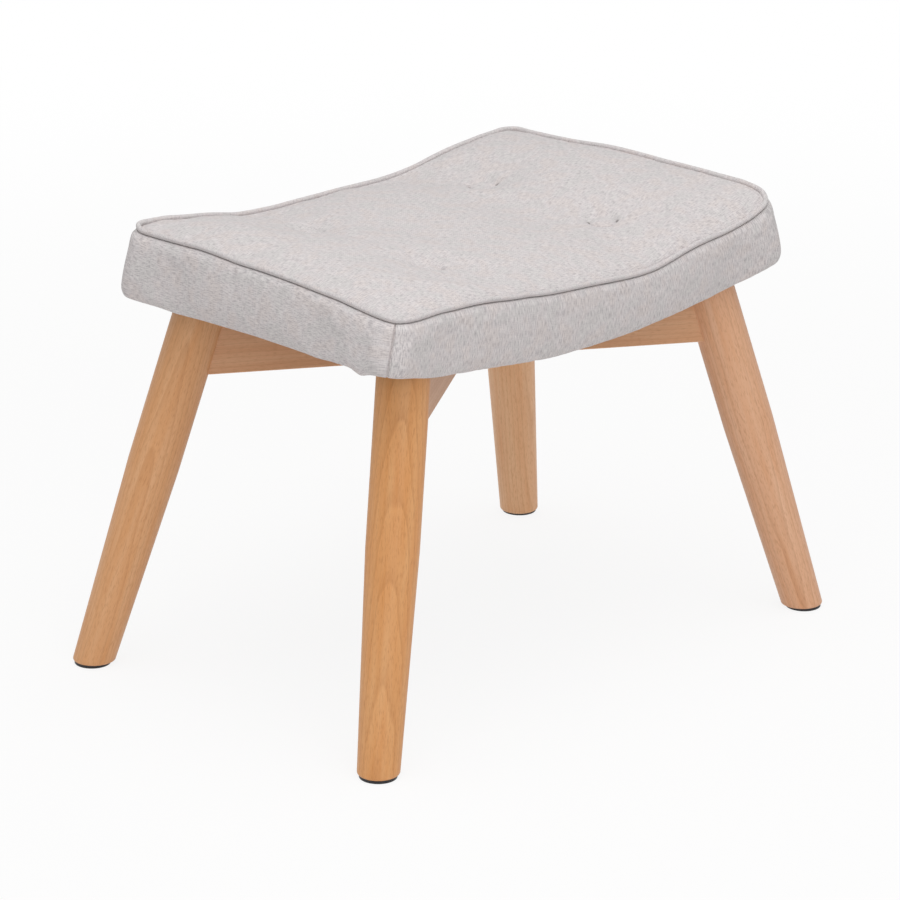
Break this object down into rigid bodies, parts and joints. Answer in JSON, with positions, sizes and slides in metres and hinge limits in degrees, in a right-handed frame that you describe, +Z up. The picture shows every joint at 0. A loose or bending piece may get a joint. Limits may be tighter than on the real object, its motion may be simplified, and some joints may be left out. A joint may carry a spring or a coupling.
{
  "type": "upholstered footstool",
  "caption": "Fixed footstool with a saddle-shaped, button-tufted padded seat on crossed rails and splayed, tapered round wooden legs.",
  "frame": {"origin": "on the floor, under the middle of the seat", "axes": "+X along the long side of the seat, +Y from the front towards the back, +Z up; the picture looks from the front left, at the corner between -X and -Y"},
  "size_m": [0.6152, 0.4126, 0.4191],
  "materials": {
    "beech": "clear satin lacquer",
    "plywood": "raw",
    "glide_plastic": "matte",
    "steel": "zinc plated",
    "foam": "open cell foam",
    "upholstery": "heathered linen-look weave",
    "twine": "waxed twine",
    "dust_cloth": "matte non-woven cloth"
  },
  "bodies": {
    "root": {"leg_front_left": "beech", "leg_front_right": "beech", "leg_back_left": "beech", "leg_back_right": "beech", "glide_front_left": "glide_plastic", "glide_front_right": "glide_plastic", "glide_back_left": "glide_plastic", "glide_back_right": "glide_plastic", "glide_nails": "steel", "rail_dowels": "beech", "cross_rail_upper": "beech", "cross_rail_lower": "beech", "seat_bolts": "steel", "bolt_washers": "steel", "tee_nuts": "steel", "seat_board": "plywood", "foam_pad": "foam", "cover_top_panel": "upholstery", "cover_side_front": "upholstery", "cover_side_back": "upholstery", "cover_side_left": "upholstery", "cover_side_right": "upholstery", "piping": "upholstery", "tuft_button_front_left": "upholstery", "tuft_button_front_right": "upholstery", "tuft_button_back_left": "upholstery", "tuft_button_back_right": "upholstery", "tuft_twines": "twine", "tuft_washers": "steel", "dust_cover": "dust_cloth", "staples": "steel"}
  },
  "joints": []
}
